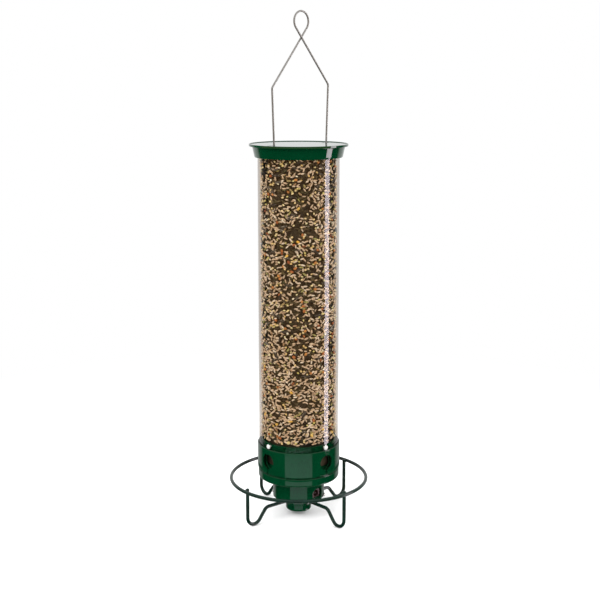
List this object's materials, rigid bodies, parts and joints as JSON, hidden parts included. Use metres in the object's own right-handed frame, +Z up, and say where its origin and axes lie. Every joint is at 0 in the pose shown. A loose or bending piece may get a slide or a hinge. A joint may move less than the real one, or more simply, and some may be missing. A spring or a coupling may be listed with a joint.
{
  "type": "hanging tube bird feeder",
  "caption": "Clear seed tube on a green port base, with a wire hanger, a sliding cap and a weight-sprung perch ring on bent wire legs that a small geared motor turns.",
  "frame": {"origin": "on the plane that the perch's feet stand on, under the middle of the seed tube's axis", "axes": "+Z up along the seed tube; the feeding ports and the perch's legs are on +X, -X, +Y and -Y; the hanger's two strands stand in the YZ plane"},
  "size_m": [0.1446, 0.1446, 0.516],
  "materials": {
    "clear_tube": "clear glossy polycarbonate",
    "mixed_seed": "dry matt seed and husk",
    "green_gloss": "dark green, high gloss moulding",
    "perch_coat": "dark green powder coat over steel rod",
    "bright_steel": "bright plated",
    "wire_steel": "drawn stainless wire",
    "black_plastic": "matt black moulding",
    "white_nylon": "natural nylon",
    "brass": "turned or pressed",
    "cell_wrap": "plain heat-shrunk sleeve",
    "board": "solder-masked laminate",
    "lead_red": "insulated wire",
    "lead_black": "insulated wire"
  },
  "bodies": {
    "feeder": {"seed_tube": "clear_tube", "seed_fill": "mixed_seed", "seed_baffle": "green_gloss", "port_sleeve": "green_gloss", "base_band": "green_gloss", "tube_rivet_1": "bright_steel", "tube_rivet_2": "bright_steel", "tube_rivet_3": "bright_steel", "tube_rivet_4": "bright_steel", "hanger_wire": "wire_steel", "motor_housing": "green_gloss", "housing_cover": "green_gloss", "cover_screw_1": "bright_steel", "cover_screw_2": "bright_steel", "upper_bush": "brass", "lower_bush": "brass", "gear_motor": "bright_steel", "micro_switch": "black_plastic", "circuit_board": "board", "charging_jack": "black_plastic", "battery_column": "black_plastic", "column_cap": "black_plastic", "battery_cell_1": "cell_wrap", "battery_cell_2": "cell_wrap", "battery_cell_3": "cell_wrap", "lower_contact": "brass", "upper_contact": "brass", "battery_lead_red": "lead_red", "battery_lead_black": "lead_black", "motor_lead_red": "lead_red", "motor_lead_black": "lead_black", "return_spring": "wire_steel"},
    "cap": {"top_cap": "green_gloss"},
    "carriage": {"thrust_collar": "brass"},
    "perch": {"output_shaft": "bright_steel", "retaining_clip": "bright_steel", "perch_gear": "white_nylon", "leg_hub": "green_gloss", "hub_knob": "green_gloss", "perch_leg_1": "perch_coat", "perch_leg_2": "perch_coat", "perch_leg_3": "perch_coat", "perch_leg_4": "perch_coat", "perch_ring": "perch_coat"},
    "pinion": {"drive_pinion": "white_nylon"},
    "lever": {"switch_lever": "bright_steel"}
  },
  "joints": [
    {"name": "cap_slide", "type": "slide", "parent": "feeder", "child": "cap", "axis": [0, 0, 1], "range_m": [0, 0.04]},
    {"name": "perch_drop", "type": "slide", "parent": "feeder", "child": "carriage", "axis": [0, 0, -1], "range_m": [0, 0.003], "stiffness_N_per_m": 1500, "springref_m": -0.002, "deforming": ["return_spring"]},
    {"name": "perch_spin", "type": "hinge", "parent": "carriage", "child": "perch", "pos_m": [0, 0, 0.0395], "axis": [0, 0, 1], "continuous": true},
    {"name": "pinion_spin", "type": "hinge", "parent": "feeder", "child": "pinion", "pos_m": [0, 0.0152, 0.034], "axis": [0, 0, 1], "continuous": true},
    {"name": "lever_press", "type": "hinge", "parent": "feeder", "child": "lever", "pos_m": [-0.0185, 0, 0.0305], "axis": [0, 1, 0], "range_deg": [0, 16]}
  ],
  "couplings": [
    {"joint": "pinion_spin", "follows": "perch_spin", "ratio": -3.75},
    {"joint": "lever_press", "follows": "perch_drop", "rad_per_m": 90}
  ]
}
